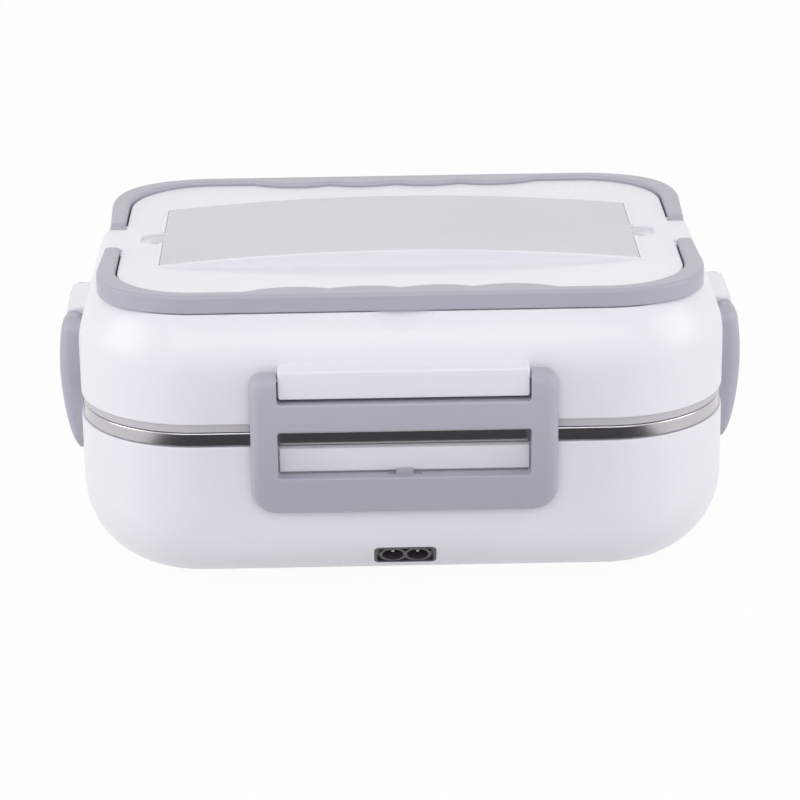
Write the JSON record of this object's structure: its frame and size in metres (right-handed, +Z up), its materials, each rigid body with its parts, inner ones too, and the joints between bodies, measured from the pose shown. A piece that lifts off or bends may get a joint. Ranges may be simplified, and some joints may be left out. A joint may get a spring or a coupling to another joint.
{
  "type": "electric lunch box",
  "caption": "Heated lunch box: rounded base with steel food container, lift-off lid with clip latches on all sides, folding carry handles and a cutlery compartment.",
  "frame": {"origin": "on the floor under the middle of the lunch box", "axes": "+Z up through the lid, -Y towards the front with the power inlet, X along the long side"},
  "size_m": [0.2488, 0.1888, 0.1129],
  "materials": {
    "white_shell": "satin",
    "liner": "matte",
    "steel": "polished",
    "heater_metal": "cast",
    "element": "matte",
    "hardware": "satin",
    "dark_plastic": "matte",
    "fuse_body": "matte",
    "lead_sleeve": "matte",
    "contact": "polished",
    "foot_rubber": "matte",
    "strip_plastic": "satin",
    "silicone": "matte",
    "cover_plastic": "frosted",
    "grey_plastic": "satin"
  },
  "bodies": {
    "base": {"base_shell": "white_shell", "base_liner": "liner", "heating_plate": "heater_metal", "heating_element": "element", "element_clamp": "hardware", "clamp_screws": "hardware", "thermostat": "dark_plastic", "thermal_fuse": "fuse_body", "supply_leads": "lead_sleeve", "inlet_housing": "dark_plastic", "inlet_pins": "contact", "base_screws": "hardware", "feet": "foot_rubber"},
    "container": {"food_container": "steel"},
    "lid": {"lid_shell": "white_shell", "inner_lid": "strip_plastic", "lid_gasket": "silicone", "handle_pins": "hardware", "front_latch_pin": "hardware", "right_latch_pin": "hardware", "back_latch_pin": "hardware", "left_latch_pin": "hardware"},
    "cover": {"cutlery_cover": "cover_plastic"},
    "handle_front": {"front_handle": "grey_plastic"},
    "handle_back": {"back_handle": "grey_plastic"},
    "latch_front": {"front_latch": "grey_plastic"},
    "latch_right": {"right_latch": "grey_plastic"},
    "latch_back": {"back_latch": "grey_plastic"},
    "latch_left": {"left_latch": "grey_plastic"}
  },
  "joints": [
    {"name": "container_lift", "type": "slide", "parent": "base", "child": "container", "axis": [0, 0, 1], "range_m": [0, 0.06]},
    {"name": "lid_lift", "type": "slide", "parent": "container", "child": "lid", "axis": [0, 0, 1], "range_m": [0, 0.08]},
    {"name": "cover_lift", "type": "slide", "parent": "lid", "child": "cover", "axis": [0, 0, 1], "range_m": [0, 0.035]},
    {"name": "front_handle_fold", "type": "hinge", "parent": "lid", "child": "handle_front", "pos_m": [0, -0.0164, 0.10655], "axis": [-1, 0, 0], "range_deg": [0, 90]},
    {"name": "back_handle_fold", "type": "hinge", "parent": "lid", "child": "handle_back", "pos_m": [0, 0.0164, 0.10655], "axis": [1, 0, 0], "range_deg": [0, 90]},
    {"name": "front_latch_hinge", "type": "hinge", "parent": "lid", "child": "latch_front", "pos_m": [0, -0.0886, 0.0825], "axis": [-1, 0, 0], "range_deg": [0, 105]},
    {"name": "right_latch_hinge", "type": "hinge", "parent": "lid", "child": "latch_right", "pos_m": [0.1186, 0, 0.0825], "axis": [0, -1, 0], "range_deg": [0, 105]},
    {"name": "back_latch_hinge", "type": "hinge", "parent": "lid", "child": "latch_back", "pos_m": [0, 0.0886, 0.0825], "axis": [1, 0, 0], "range_deg": [0, 105]},
    {"name": "left_latch_hinge", "type": "hinge", "parent": "lid", "child": "latch_left", "pos_m": [-0.1186, 0, 0.0825], "axis": [0, 1, 0], "range_deg": [0, 105]}
  ]
}
